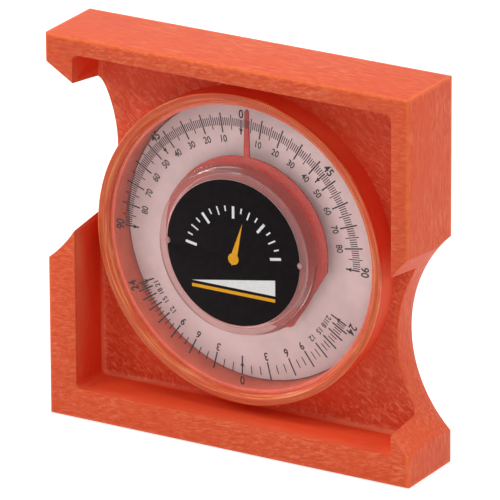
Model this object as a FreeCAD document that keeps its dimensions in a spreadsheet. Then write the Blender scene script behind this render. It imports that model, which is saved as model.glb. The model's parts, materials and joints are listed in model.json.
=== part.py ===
# Inclinometer: a pendulum dial in a square moulded frame, for reading slope and roof pitch.
#
# Millimetres, X to the right, Y to the back, Z up. The origin is the middle of the base.
# The pieces of the dial are drawn about their own axis, with zero depth on the front of the web
# that carries them and negative Y towards the reader, and their bodies stand on the dial axis.

import FreeCAD, Part
import os
import re

import Sketcher

# ---------------------------------------------------------------- driving dimensions
SIZES = {
    # frame: outside, walls and web
    "frameWidth": 130.0,
    "frameHeight": 127.0,
    "frameDepth": 27.0,
    "leftWall": 10.0,
    "rightWall": 6.0,
    "baseWall": 10.0,
    "topWall": 5.6,
    "pocketDepth": 16.8,
    "webThickness": 6.2,
    "backFlange": 6.0,
    "edgeRound": 1.2,
    "pocketRound": 2.2,
    "webRound": 2.0,
    "recessRound": 3.0,
    # frame: the round cut-outs that sit over a pipe, how deep each bites, and the hook above the left one
    "pipeRadius": 43.4,
    "pipeDraft": 4.0,
    "rightPipeBite": 13.2,
    "rightPipeUp": 42.65,
    "leftPipeBite": 16.1,
    "leftPipeUp": 87.5,
    "hookLip": 8.6,
    "hookRoot": 14.7,
    "hookDrop": 2.6,
    # frame: the round seat and collar that hold the capsule
    "dialAboveMiddle": 0.8,
    "seatDepth": 4.0,
    "collarGap": 0.2,
    "collarLip": 0.3,
    "flangeGap": 0.15,
    # capsule: clear cover
    "rimOverhang": 2.5,
    "rimTopWidth": 2.3,
    "rimSlope": 1.1,
    "rimBand": 1.2,
    "rimStep": 1.3,
    "barrelRadius": 48.5,
    "barrelWall": 2.0,
    "windowHeight": 8.0,
    "windowThickness": 1.6,
    "bossRadius": 26.8,
    "bossFlare": 1.2,
    "bossHeight": 11.9,
    "bossWall": 1.5,
    "bossLip": 2.8,
    "labelThickness": 0.3,
    "labelGap": 0.1,
    "keyRadius": 1.0,
    # capsule: back, white disc and screws
    "backPlate": 1.25,
    "postRadius": 3.4,
    "postHeight": 4.0,
    "discGap": 0.3,
    "discThickness": 0.25,
    "discBore": 4.0,
    "holeGap": 0.2,
    "screwAcross": 30.0,
    "screwBossRadius": 3.4,
    "screwRadius": 1.45,
    "pilotRadius": 1.25,
    "screwBite": 2.8,
    "pilotGap": 0.3,
    "screwHeadRadius": 4.6,
    "screwHeadHeight": 1.9,
    "clampGap": 0.1,
    # movement: bearings, axle, hub
    "axleRadius": 1.0,
    "axleEndGap": 0.35,
    "runningGap": 0.04,
    "bushRadius": 2.2,
    "bushStand": 0.5,
    "rearBushLength": 4.2,
    "frontBushLength": 1.3,
    "bearingSeatRadius": 4.4,
    "bearingSeatStand": 0.85,
    "endPlay": 0.12,
    "thrustRadius": 2.6,
    "thrustThickness": 0.25,
    "hubRadius": 3.4,
    "hubStand": 0.4,
    # movement: pointer and weight
    "pointerThickness": 0.8,
    "needleGap": 1.9,
    "needleTip": 1.3,
    "needleRoot": 2.2,
    "hubPlateRadius": 29.0,
    "plateShoulder": 4.0,
    "tailHalfWidth": 16.2,
    "tailLength": 24.5,
    "weightSideGap": 2.1,
    "weightInner": 8.5,
    "weightTop": 3.0,
    "weightFrontGap": 1.58,
    "rivetAcross": 13.0,
    "rivetDown": 10.0,
    "rivetRadius": 1.1,
}

# How far the cutting tools reach past the faces they cut through, and how close counts as touching.
OVERCUT = 2.0
TOUCHING = 1e-4

# ---------------------------------------------------------------- places worked out from the sizes
WEB_Y = "(pocketDepth - frameDepth / 2)"
RECESS_DEPTH = "(frameDepth - pocketDepth - webThickness)"
DIAL_UP = "(frameHeight / 2 + dialAboveMiddle)"
PIPE_PLACES = {
    "left": ("-(frameWidth / 2 + pipeRadius - leftPipeBite)", "leftPipeUp"),
    "right": ("(frameWidth / 2 + pipeRadius - rightPipeBite)", "rightPipeUp"),
}

# Radii about the dial axis that follow from the barrel and the boss of the clear cover.
RIM_RADIUS = "(barrelRadius + rimOverhang)"
BARREL_INSIDE = "(barrelRadius - barrelWall)"
NEEDLE_LENGTH = f"({BARREL_INSIDE} - needleGap)"
LABEL_SEAT_RADIUS = "(bossRadius - bossLip)"
WEIGHT_OUTER = "(bossRadius - bossWall - weightSideGap)"

# Heights above the web front, along the dial axis, from the back plate to the front bearing.
PLATE_FRONT = "(backPlate - seatDepth)"
POST_FRONT = f"({PLATE_FRONT} + postHeight)"
REAR_BUSH_FRONT = f"({POST_FRONT} + bushStand)"
HUB_BACK = f"({REAR_BUSH_FRONT} + endPlay + thrustThickness)"
POINTER_BACK = f"({HUB_BACK} + hubStand)"
POINTER_FRONT = f"({POINTER_BACK} + pointerThickness)"
RIM_HEIGHT = "(windowHeight + rimStep)"
LABEL_SEAT = "(bossHeight - labelThickness)"
BOSS_INSIDE = f"({LABEL_SEAT} - bossWall)"
WEIGHT_FRONT = f"({BOSS_INSIDE} - weightFrontGap)"
BEARING_SEAT = f"({BOSS_INSIDE} - bearingSeatStand)"
FRONT_BUSH_BACK = f"({BEARING_SEAT} - bushStand)"
HUB_FRONT = f"({FRONT_BUSH_BACK} - endPlay - thrustThickness)"

doc = FreeCAD.newDocument("inclinometer")
sheet = doc.addObject("Spreadsheet::Sheet", "sizes")
for row, (alias, number) in enumerate(SIZES.items(), start=1):
    sheet.set(f"A{row}", alias)
    sheet.set(f"B{row}", str(number))
    sheet.setAlias(f"B{row}", alias)
doc.recompute()


# ---------------------------------------------------------------- drawing helpers
def cells(formula):
    """The formula with every size name pointing at its cell in the sheet."""
    return re.sub(r"[A-Za-z]+", lambda word: f"sizes.{word[0]}" if word[0] in SIZES else word[0], formula)


def bind(item, path, formula):
    item.setExpression(path, cells(formula))


def frameBody(name):
    body = doc.addObject("PartDesign::Body", name)
    body.Label = name
    return body


def dialBody(name, severalSolids=False):
    """A body whose own Y axis is the dial axis and whose own zero is the front of the web."""
    body = frameBody(name)
    body.AllowCompound = severalSolids
    bind(body, "Placement.Base.y", WEB_Y)
    bind(body, "Placement.Base.z", DIAL_UP)
    return body


def originFeature(body, role):
    return next(feature for feature in body.Origin.OriginFeatures if feature.Role == role)


def frontSketch(body, name, forward="0"):
    """A sketch seen from the front: across is X, up is Z, and it lies this far towards the reader."""
    sketch = body.newObject("Sketcher::SketchObject", name)
    sketch.AttachmentSupport = [(originFeature(body, "XZ_Plane"), "")]
    sketch.MapMode = "FlatFace"
    bind(sketch, "AttachmentOffset.Base.z", forward)
    return sketch


def turnedSketch(body, name, across="0", up="0"):
    """A half section for turning about its own upright axis: radius is X, depth is Y."""
    sketch = body.newObject("Sketcher::SketchObject", name)
    sketch.AttachmentSupport = [(originFeature(body, "XY_Plane"), "")]
    sketch.MapMode = "FlatFace"
    bind(sketch, "AttachmentOffset.Base.x", across)
    bind(sketch, "AttachmentOffset.Base.z", up)
    return sketch


def fix(sketch, kind, target, start, formula, name):
    """One dimension of a sketch, with its size bound to the sheet."""
    index = sketch.addConstraint(Sketcher.Constraint(kind, *target, start))
    sketch.renameConstraint(index, name)
    bind(sketch, f"Constraints.{name}", formula)


def fixPoint(sketch, element, end, start, place, name):
    """A point held at a place, or on an axis where its formula is zero."""
    for axis, onAxis, begin, formula in (("X", -2, start.x, place[0]), ("Y", -1, start.y, place[1])):
        if formula == "0":
            sketch.addConstraint(Sketcher.Constraint("PointOnObject", element, end, onAxis))
        else:
            fix(sketch, f"Distance{axis}", (-1, 1, element, end), begin, formula, name + axis)


def drawOutline(sketch, corners):
    """A closed outline of straight lines through the corners, given as pairs of formulas."""
    turn = 360.0 / len(corners)
    rough = [FreeCAD.Rotation(FreeCAD.Vector(0, 0, 1), turn * index).multVec(FreeCAD.Vector(20, 0, 0))
             for index in range(len(corners))]
    first = sketch.GeometryCount
    for index, start in enumerate(rough):
        sketch.addGeometry(Part.LineSegment(start, rough[(index + 1) % len(corners)]))
    for index in range(len(corners)):
        following = (index + 1) % len(corners)
        sketch.addConstraint(Sketcher.Constraint("Coincident", first + index, 2, first + following, 1))
    for index, place in enumerate(corners):
        fixPoint(sketch, first + index, 1, rough[index], place, f"corner{index}")


def drawCircle(sketch, radius, place=("0", "0")):
    start = FreeCAD.Vector(3, 3, 0)
    element = sketch.addGeometry(Part.Circle(start, FreeCAD.Vector(0, 0, 1), 2.0))
    fix(sketch, "Radius", (element,), 2.0, radius, f"radius{element}")
    fixPoint(sketch, element, 3, start, place, f"centre{element}")


def pad(sketch, length, name, towardsBack=False):
    feature = sketch.getParentGeoFeatureGroup().newObject("PartDesign::Pad", name)
    feature.Profile = sketch
    feature.Reversed = towardsBack
    bind(feature, "Length", length)
    doc.recompute()
    return feature


def pocket(sketch, depth, name, towardsFront=False):
    """A cut towards the back, or towards the front from a sketch on the back."""
    body = sketch.getParentGeoFeatureGroup()
    before = body.Shape.Volume
    feature = body.newObject("PartDesign::Pocket", name)
    feature.Profile = sketch
    feature.Reversed = towardsFront
    bind(feature, "Length", depth)
    doc.recompute()
    if feature.Shape.Volume >= before:
        raise RuntimeError(f"{name} cuts nothing")
    return feature


def turn(sketch, name):
    feature = sketch.getParentGeoFeatureGroup().newObject("PartDesign::Revolution", name)
    feature.Profile = sketch
    feature.ReferenceAxis = (sketch, ["V_Axis"])
    feature.Angle = 360.0
    doc.recompute()
    return feature


def mirrorPair(body, features, name):
    """The features again on the other side of the dial axis."""
    pair = body.newObject("PartDesign::Mirrored", name)
    pair.Originals = features
    pair.MirrorPlane = (originFeature(body, "YZ_Plane"), [""])
    body.Tip = pair
    doc.recompute()


def roundEdges(body, rule, radius, name):
    """A fillet on every edge of the body's last shape for which the rule holds."""
    base = body.Tip
    names = [f"Edge{index}" for index, edge in enumerate(base.Shape.Edges, start=1) if rule(edge)]
    if not names:
        raise RuntimeError(f"{name} finds no edge")
    feature = body.newObject("PartDesign::Fillet", name)
    feature.Base = (base, names)
    bind(feature, "Radius", radius)
    doc.recompute()
    return feature


def sameDepth(edge, depth):
    """Whether the edge lies in the plane of this depth."""
    box = edge.BoundBox
    return abs(box.YMin - depth) < TOUCHING and abs(box.YMax - depth) < TOUCHING


def runsBack(edge):
    """Whether the edge is a straight line from front to back."""
    box = edge.BoundBox
    return box.XLength < TOUCHING and box.ZLength < TOUCHING


# ---------------------------------------------------------------- frame
def pipeCut(side):
    """A round cut that opens out with draft from the web front, where the mould halves meet."""
    name = f"{side}_pipe_cut"
    tool = frameBody(name)
    front = f"(frameDepth / 2 + {OVERCUT})"
    frontRadius = f"pipeRadius + tan(pipeDraft) * (pocketDepth + {OVERCUT})"
    backRadius = f"pipeRadius + tan(pipeDraft) * (frameDepth - pocketDepth + {OVERCUT})"
    profile = turnedSketch(tool, f"{name}_profile", *PIPE_PLACES[side])
    drawOutline(profile, [
        ("0", f"-{front}"),
        (frontRadius, f"-{front}"),
        ("pipeRadius", WEB_Y),
        (backRadius, front),
        ("0", front),
    ])
    turn(profile, f"{name}_cone")
    return tool


def hookSection(tool, name, forward, drop):
    """The hook's outline at one depth: solid above its sloping underside, as wide as the left wall."""
    slope = "(hookRoot - hookLip) / leftWall"
    left = f"-(frameWidth / 2 + {OVERCUT})"
    inside = "-(frameWidth / 2 - leftWall)"
    above = f"frameHeight + {OVERCUT}"
    sketch = frontSketch(tool, name, forward)
    drawOutline(sketch, [
        (inside, f"frameHeight - hookRoot - {drop}"),
        (inside, above),
        (left, above),
        (left, f"frameHeight - hookLip - {drop} + {OVERCUT} * {slope}"),
    ])
    return sketch


def leftPipeCut():
    """The left round cut, which leaves the hook standing under the top wall."""
    tool = pipeCut("left")
    reach = f"(frameDepth / 2 + {OVERCUT})"
    lower = tool.newObject("PartDesign::SubtractiveLoft", "hook_kept")
    front = hookSection(tool, "hook_front", reach, "0")
    web = hookSection(tool, "hook_web", f"-{WEB_Y}", "hookDrop")
    back = hookSection(tool, "hook_back", f"-{reach}", "hookDrop / 2")
    lower.Profile = front
    lower.Sections = [web, back]
    lower.Ruled = True
    doc.recompute()
    return tool


def backRecessCut():
    """The recess behind the web, inside a flange that follows the outline and both round cuts."""
    tool = frameBody("back_recess_cut")
    across = "(frameWidth / 2 - backFlange)"
    sketch = frontSketch(tool, "recess_area", "-frameDepth / 2")
    drawOutline(sketch, [
        (across, "backFlange"),
        (across, "frameHeight - backFlange"),
        (f"-{across}", "frameHeight - backFlange"),
        (f"-{across}", "backFlange"),
    ])
    pad(sketch, RECESS_DEPTH, "recess")
    roundEdges(tool, runsBack, "recessRound", "recess_corners")
    flanges = frontSketch(tool, "pipe_flanges", "-frameDepth / 2")
    for place in PIPE_PLACES.values():
        drawCircle(flanges, "pipeRadius + backFlange", place)
    pocket(flanges, RECESS_DEPTH, "flanges_kept", towardsFront=True)
    return tool


def makeFrame():
    """The moulded frame: four walls round a web, with the capsule's seat and collar in the web."""
    frame = frameBody("frame")
    outline = frontSketch(frame, "outline", "-frameDepth / 2")
    drawOutline(outline, [
        ("frameWidth / 2", "0"),
        ("frameWidth / 2", "frameHeight"),
        ("-frameWidth / 2", "frameHeight"),
        ("-frameWidth / 2", "0"),
    ])
    pad(outline, "frameDepth", "block")
    frontY = -SIZES["frameDepth"] / 2
    roundEdges(frame, lambda edge: sameDepth(edge, frontY), "edgeRound", "front_edges")

    opening = frontSketch(frame, "pocket_area", "frameDepth / 2")
    drawOutline(opening, [
        ("frameWidth / 2 - rightWall", "baseWall"),
        ("frameWidth / 2 - rightWall", "frameHeight - topWall"),
        ("-(frameWidth / 2 - leftWall)", "frameHeight - topWall"),
        ("-(frameWidth / 2 - leftWall)", "baseWall"),
    ])
    pocket(opening, "pocketDepth", "front_pocket")
    insideOutline = SIZES["frameWidth"] / 2 - SIZES["edgeRound"] - TOUCHING
    webY = SIZES["pocketDepth"] - SIZES["frameDepth"] / 2
    roundEdges(frame, lambda edge: runsBack(edge) and abs(edge.BoundBox.XMin) < insideOutline,
               "pocketRound", "pocket_corners")
    roundEdges(frame, lambda edge: sameDepth(edge, webY), "webRound", "web_edges")

    collar = frontSketch(frame, "collar_area", f"-{WEB_Y}")
    drawCircle(collar, f"{RIM_RADIUS} - collarLip", ("0", DIAL_UP))
    drawCircle(collar, "barrelRadius + collarGap", ("0", DIAL_UP))
    pad(collar, f"{RIM_HEIGHT} - rimBand - flangeGap", "capsule_collar")
    seat = frontSketch(frame, "seat_area", f"-{WEB_Y}")
    drawCircle(seat, "barrelRadius + collarGap", ("0", DIAL_UP))
    pocket(seat, "seatDepth", "capsule_seat")

    holes = frontSketch(frame, "screw_boss_holes", f"-{WEB_Y}")
    for side in ("screwAcross", "-screwAcross"):
        drawCircle(holes, "screwBossRadius + holeGap", (side, DIAL_UP))
    pocket(holes, f"webThickness + {OVERCUT}", "holes_through_web")

    cuts = frame.newObject("PartDesign::Boolean", "back_and_pipe_cuts")
    cuts.Type = "Cut"
    cuts.setObjects([backRecessCut(), pipeCut("right"), leftPipeCut()])
    doc.recompute()


# ---------------------------------------------------------------- capsule
def makeLensCover():
    """The clear cover, turned in one piece: barrel, rim, window, boss and front bearing seat."""
    lens = dialBody("lens_cover")
    profile = turnedSketch(lens, "lens_profile")
    boreEnd = f"({BEARING_SEAT} + frontBushLength + axleEndGap)"
    drawOutline(profile, [
        (BARREL_INSIDE, f"-{PLATE_FRONT}"),
        ("barrelRadius", f"-{PLATE_FRONT}"),
        ("barrelRadius", f"-({RIM_HEIGHT} - rimBand)"),
        (RIM_RADIUS, f"-({RIM_HEIGHT} - rimBand)"),
        (RIM_RADIUS, f"-{RIM_HEIGHT}"),
        (f"{RIM_RADIUS} - rimTopWidth", f"-{RIM_HEIGHT}"),
        (f"{RIM_RADIUS} - rimTopWidth - rimSlope", "-windowHeight"),
        ("bossRadius + bossFlare", "-windowHeight"),
        ("bossRadius", "-bossHeight"),
        (LABEL_SEAT_RADIUS, "-bossHeight"),
        (LABEL_SEAT_RADIUS, f"-{LABEL_SEAT}"),
        ("0", f"-{LABEL_SEAT}"),
        ("0", f"-{boreEnd}"),
        ("bushRadius", f"-{boreEnd}"),
        ("bushRadius", f"-{BEARING_SEAT}"),
        ("bearingSeatRadius", f"-{BEARING_SEAT}"),
        ("bearingSeatRadius", f"-{BOSS_INSIDE}"),
        ("bossRadius - bossWall", f"-{BOSS_INSIDE}"),
        ("bossRadius - bossWall", "-(windowHeight - windowThickness)"),
        (BARREL_INSIDE, "-(windowHeight - windowThickness)"),
    ])
    turn(profile, "lens_turned")
    keys = frontSketch(lens, "label_keys", LABEL_SEAT)
    drawLabelKeys(keys, "keyRadius")
    pad(keys, "labelThickness", "keys")


def drawLabelKeys(sketch, radius):
    """A circle at each side of the label seat, for the keys and for the notches that take them."""
    for side in (LABEL_SEAT_RADIUS, f"-{LABEL_SEAT_RADIUS}"):
        drawCircle(sketch, radius, (side, "0"))


def makeHubLabel():
    """The thin round label on the boss, notched at both sides for the keys."""
    label = dialBody("hub_label")
    area = frontSketch(label, "label_area", LABEL_SEAT)
    drawCircle(area, f"{LABEL_SEAT_RADIUS} - labelGap")
    pad(area, "labelThickness", "label_sheet")
    notches = frontSketch(label, "label_notches", "bossHeight")
    drawLabelKeys(notches, "keyRadius + labelGap")
    pocket(notches, "labelThickness", "notches")


def makeCaseBack():
    """The clear back: a plate under the barrel, the post with the rear bore and two screw bosses."""
    back = dialBody("case_back")
    profile = turnedSketch(back, "back_profile")
    boreEnd = f"(rearBushLength + axleEndGap - {POST_FRONT})"
    drawOutline(profile, [
        ("0", "seatDepth"),
        ("barrelRadius", "seatDepth"),
        ("barrelRadius", f"-{PLATE_FRONT}"),
        ("postRadius", f"-{PLATE_FRONT}"),
        ("postRadius", f"-{POST_FRONT}"),
        ("bushRadius", f"-{POST_FRONT}"),
        ("bushRadius", boreEnd),
        ("0", boreEnd),
    ])
    turn(profile, "back_turned")
    bossArea = frontSketch(back, "screw_boss_area", "-seatDepth")
    drawCircle(bossArea, "screwBossRadius", ("screwAcross", "0"))
    boss = pad(bossArea, "webThickness - seatDepth - clampGap", "screw_boss", towardsBack=True)
    pilotArea = frontSketch(back, "pilot_area", "-(webThickness - clampGap)")
    drawCircle(pilotArea, "pilotRadius", ("screwAcross", "0"))
    pilot = pocket(pilotArea, "screwBite", "screw_pilot", towardsFront=True)
    mirrorPair(back, [boss, pilot], "screw_boss_pair")


def makeDisc(name, height, thickness, radius, bore):
    """A flat round piece on the dial axis, with a hole in its middle."""
    disc = dialBody(name)
    area = frontSketch(disc, f"{name}_area", height)
    drawCircle(area, radius)
    drawCircle(area, bore)
    pad(area, thickness, f"{name}_pad")


def makeScrews():
    """Large-headed screws from behind, one in each boss, clamping the web."""
    screws = dialBody("capsule_screws", severalSolids=True)
    tip = "(webThickness - clampGap - screwBite + pilotGap)"
    profile = turnedSketch(screws, "screw_profile", "screwAcross")
    drawOutline(profile, [
        ("0", tip),
        ("screwRadius", tip),
        ("screwRadius", "webThickness"),
        ("screwHeadRadius", "webThickness"),
        ("screwHeadRadius", "webThickness + screwHeadHeight"),
        ("0", "webThickness + screwHeadHeight"),
    ])
    mirrorPair(screws, [turn(profile, "screw")], "screw_pair")


# ---------------------------------------------------------------- movement
def makeBush(name, innerEnd, length, towardsBack):
    """A plain brass bush, from its end inside the capsule to its end in the boss."""
    bush = dialBody(name)
    area = frontSketch(bush, f"{name}_area", innerEnd)
    drawCircle(area, "bushRadius")
    drawCircle(area, "axleRadius + runningGap")
    pad(area, length, f"{name}_pad", towardsBack)


def makeThrustWasher(name, height):
    """The thin washer between an end of the hub and its bush, tight on the axle."""
    makeDisc(name, height, "thrustThickness", "thrustRadius", "axleRadius")


def makeAxle():
    """The steel shaft, running from the bottom of one bush to the bottom of the other."""
    axle = dialBody("axle")
    rear = f"(rearBushLength - {POST_FRONT})"
    area = frontSketch(axle, "axle_area", f"-{rear}")
    drawCircle(area, "axleRadius")
    pad(area, f"{rear} + {BEARING_SEAT} + frontBushLength", "shaft")


def makePointerHub():
    """The brass hub on the axle, which carries the pointer near its back end."""
    hub = dialBody("pointer_hub")
    area = frontSketch(hub, "hub_area", HUB_BACK)
    drawCircle(area, "hubRadius")
    drawCircle(area, "axleRadius")
    pad(area, f"{HUB_FRONT} - {HUB_BACK}", "hub_sleeve")


def makePointer():
    """The thin red plate: half round above, tapered below, with the needle standing on top."""
    pointer = dialBody("pointer")
    plate = frontSketch(pointer, "plate_area", POINTER_BACK)
    drawCircle(plate, "hubPlateRadius")
    pad(plate, "pointerThickness", "plate")

    outside = f"(hubPlateRadius + {OVERCUT})"
    shoulderAcross = "sqrt(hubPlateRadius * hubPlateRadius - plateShoulder * plateShoulder)"
    trim = frontSketch(pointer, "plate_trim", POINTER_FRONT)
    drawOutline(trim, [
        (outside, "-plateShoulder"),
        (outside, f"-{outside}"),
        (f"-{outside}", f"-{outside}"),
        (f"-{outside}", "-plateShoulder"),
        (f"-{shoulderAcross}", "-plateShoulder"),
        ("-tailHalfWidth", "-tailLength"),
        ("tailHalfWidth", "-tailLength"),
        (shoulderAcross, "-plateShoulder"),
    ])
    pocket(trim, "pointerThickness", "tail_sides")

    needle = frontSketch(pointer, "needle_area", POINTER_BACK)
    drawOutline(needle, [
        ("needleRoot / 2", "hubPlateRadius - needleRoot"),
        ("needleTip / 2", f"{NEEDLE_LENGTH} - needleTip / 2"),
        ("0", NEEDLE_LENGTH),
        ("-needleTip / 2", f"{NEEDLE_LENGTH} - needleTip / 2"),
        ("-needleRoot / 2", "hubPlateRadius - needleRoot"),
    ])
    pad(needle, "pointerThickness", "needle")

    bores = frontSketch(pointer, "pointer_bores", POINTER_FRONT)
    drawCircle(bores, "hubRadius")
    drawRivetCircles(bores)
    pocket(bores, "pointerThickness", "pointer_holes")


def drawRivetCircles(sketch):
    """A circle at each rivet, for the rivets and for the holes that take them."""
    for side in ("rivetAcross", "-rivetAcross"):
        drawCircle(sketch, "rivetRadius", (side, "-rivetDown"))


def makeCounterweight():
    """The steel half ring in front of the pointer's tail, below the axle."""
    weight = dialBody("counterweight")
    ring = frontSketch(weight, "weight_ring", POINTER_FRONT)
    drawCircle(ring, WEIGHT_OUTER)
    drawCircle(ring, "weightInner")
    thickness = f"({WEIGHT_FRONT} - {POINTER_FRONT})"
    pad(ring, thickness, "weight_block")
    outside = f"({WEIGHT_OUTER} + {OVERCUT})"
    upper = frontSketch(weight, "weight_top", WEIGHT_FRONT)
    drawOutline(upper, [
        (outside, "-weightTop"),
        (outside, outside),
        (f"-{outside}", outside),
        (f"-{outside}", "-weightTop"),
    ])
    pocket(upper, thickness, "upper_half_cut")
    bores = frontSketch(weight, "weight_bores", WEIGHT_FRONT)
    drawRivetCircles(bores)
    pocket(bores, thickness, "weight_holes")


def makeRivets():
    """Two solid rivets through pointer and weight, closed flush at both ends."""
    rivets = dialBody("weight_rivets", severalSolids=True)
    area = frontSketch(rivets, "rivet_area", POINTER_BACK)
    drawRivetCircles(area)
    pad(area, f"{WEIGHT_FRONT} - {POINTER_BACK}", "rivets")


# ---------------------------------------------------------------- build, check and export
makeFrame()
makeLensCover()
makeCaseBack()
makeDisc("background_disc", PLATE_FRONT, "discThickness", f"{BARREL_INSIDE} - discGap", "discBore")
makeHubLabel()
makeScrews()
makeBush("front_bearing", FRONT_BUSH_BACK, "frontBushLength + bushStand", towardsBack=False)
makeBush("rear_bearing", REAR_BUSH_FRONT, "rearBushLength + bushStand", towardsBack=True)
makeThrustWasher("rear_thrust_washer", f"{HUB_BACK} - thrustThickness")
makeThrustWasher("front_thrust_washer", HUB_FRONT)
makeAxle()
makePointerHub()
makePointer()
makeCounterweight()
makeRivets()

NODES = [
    "frame", "lens_cover", "case_back", "background_disc", "hub_label", "capsule_screws",
    "front_bearing", "rear_bearing", "pointer", "pointer_hub", "axle", "counterweight",
    "weight_rivets", "front_thrust_washer", "rear_thrust_washer",
]

doc.recompute()
for item in doc.Objects:
    if "Invalid" in item.State or "Error" in item.State:
        raise RuntimeError(f"{item.Label} is {item.State}")

os.makedirs("parts", exist_ok=True)
for node in NODES:
    shape = doc.getObject(node).Shape
    if shape.isNull() or not shape.isValid() or not shape.Solids:
        raise RuntimeError(f"{node} has no valid solid")
    print(f"{node}: {len(shape.Solids)} solid(s), {shape.Volume:.1f} mm3, {len(shape.Faces)} faces")
for node in NODES:
    doc.getObject(node).Shape.exportStep(f"parts/{node}.step")
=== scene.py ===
import json
import math

import bmesh
import bpy
from mathutils import Matrix, Vector


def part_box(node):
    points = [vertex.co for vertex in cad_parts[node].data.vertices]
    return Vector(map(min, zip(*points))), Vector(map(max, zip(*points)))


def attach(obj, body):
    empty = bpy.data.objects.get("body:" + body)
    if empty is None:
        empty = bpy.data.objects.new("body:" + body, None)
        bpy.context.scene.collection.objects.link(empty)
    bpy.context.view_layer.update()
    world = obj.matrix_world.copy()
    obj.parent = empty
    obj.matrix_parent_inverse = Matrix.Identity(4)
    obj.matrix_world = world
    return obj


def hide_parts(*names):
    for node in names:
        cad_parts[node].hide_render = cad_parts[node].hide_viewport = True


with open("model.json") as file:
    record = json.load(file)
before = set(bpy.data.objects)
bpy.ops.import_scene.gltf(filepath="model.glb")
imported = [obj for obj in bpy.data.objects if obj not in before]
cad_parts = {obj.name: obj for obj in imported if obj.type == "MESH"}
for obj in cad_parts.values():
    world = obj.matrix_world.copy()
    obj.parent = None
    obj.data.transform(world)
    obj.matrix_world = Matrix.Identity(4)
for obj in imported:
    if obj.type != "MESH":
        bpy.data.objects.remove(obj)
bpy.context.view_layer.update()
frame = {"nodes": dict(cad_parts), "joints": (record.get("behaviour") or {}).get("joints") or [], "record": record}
nodes = frame["nodes"]
print("frame loaded:", len(nodes), "nodes")

mm = 0.001
weld = 1e-6
flatWithin = 0.4  # degrees between faces that count as one flat face

# the middle part of a noise's values, and nearly all of them
noiseMiddle = (0.35, 0.65)
noiseReach = (0.3, 0.7)

# the dial stands on its joint's axis, and its heights count forwards from the foot of the clear cover
dialCentre = Vector(frame["joints"][0]["pos_m"])
coverLow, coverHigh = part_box("lens_cover")
labelLow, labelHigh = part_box("hub_label")
discLow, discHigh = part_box("background_disc")


def dialPlace(height):
    return Matrix.Translation((dialCentre.x, coverHigh.y - height, dialCentre.z))


# camera
cameraView = {
    "azimuth": 30.66,
    "elevation": 20.376,
    "roll": -0.312,
    "distance": 2.50539,
    "lens": 579.77,
    "target": (0.000264, 0.001107, 0.062202),
}


def makeCamera(view):
    azimuth, elevation, roll = (math.radians(view[name]) for name in ("azimuth", "elevation", "roll"))
    turned = (
        Matrix.Rotation(azimuth, 3, "Z")
        @ Matrix.Rotation(math.pi / 2 - elevation, 3, "X")
        @ Matrix.Rotation(roll, 3, "Z")
    )
    data = bpy.data.cameras.new("camera")
    data.lens = view["lens"]
    data.sensor_width = 36.0
    camera = bpy.data.objects.new("camera", data)
    camera.matrix_world = turned.to_4x4()
    camera.location = Vector(view["target"]) + turned @ Vector((0, 0, view["distance"]))
    bpy.context.scene.collection.objects.link(camera)
    bpy.context.scene.camera = camera


makeCamera(cameraView)
bpy.context.scene.view_settings.view_transform = "Standard"
print("camera placed")


# mesh helpers
def linked(name, mesh):
    piece = bpy.data.objects.new(name, mesh)
    bpy.context.scene.collection.objects.link(piece)
    return piece


def meshFrom(build, name):
    mesh = bpy.data.meshes.new(name)
    build.to_mesh(mesh)
    build.free()
    return mesh


# adds one build to another at this place, and frees it
def addBuild(target, source, place):
    source.transform(place)
    mesh = meshFrom(source, "part")
    target.from_mesh(mesh)
    bpy.data.meshes.remove(mesh)


# turns a piece's modifiers into its mesh
def applied(piece):
    bpy.context.view_layer.update()
    graph = bpy.context.evaluated_depsgraph_get()
    mesh = bpy.data.meshes.new_from_object(piece.evaluated_get(graph), depsgraph=graph)
    piece.modifiers.clear()
    piece.data = mesh
    return piece


def smoothed(piece, degrees=32):
    piece.data.shade_smooth()
    piece.data.set_sharp_from_angle(angle=math.radians(degrees))
    return piece


# says of a finished piece what it rides on, its finish and the nodes it stands for
def finished(piece, body, materials=(), stands=()):
    if materials:
        piece.data.materials.clear()
        for material in materials:
            piece.data.materials.append(material)
    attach(piece, body)
    if stands:
        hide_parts(*stands)
    return piece


# a welded copy of a CAD node, its flat faces whole and a fine round on its sharp edges
def cleanCopy(node, name, bevelWidth, bevelAngle=38):
    build = bmesh.new()
    build.from_mesh(nodes[node].data)
    bmesh.ops.remove_doubles(build, verts=build.verts, dist=weld)
    bmesh.ops.dissolve_limit(
        build, verts=build.verts, edges=build.edges,
        angle_limit=math.radians(flatWithin), use_dissolve_boundaries=False,
    )
    piece = linked(name, meshFrom(build, name))
    edgeRound = piece.modifiers.new("edgeRound", "BEVEL")
    edgeRound.width = bevelWidth
    edgeRound.segments = 2
    edgeRound.limit_method = "ANGLE"
    edgeRound.angle_limit = math.radians(bevelAngle)
    edgeRound.use_clamp_overlap = True
    return smoothed(applied(piece))


# a closed outline of (radius, height) pairs turned about the dial axis, height towards -Y
def turnedBuild(outline, steps):
    build = bmesh.new()
    rings = []
    for radius, height in outline:
        if radius < weld:
            rings.append([build.verts.new((0, -height, 0))] * steps)
            continue
        ring = []
        for step in range(steps):
            angle = math.tau * step / steps
            ring.append(build.verts.new((radius * math.sin(angle), -height, radius * math.cos(angle))))
        rings.append(ring)
    for index, ring in enumerate(rings):
        following = rings[(index + 1) % len(rings)]
        for step in range(steps):
            after = (step + 1) % steps
            corners = [ring[step], ring[after], following[after], following[step]]
            unique = list(dict.fromkeys(corners))
            if len(unique) > 2:
                build.faces.new(unique)
    bmesh.ops.recalc_face_normals(build, faces=build.faces)
    return build


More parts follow.
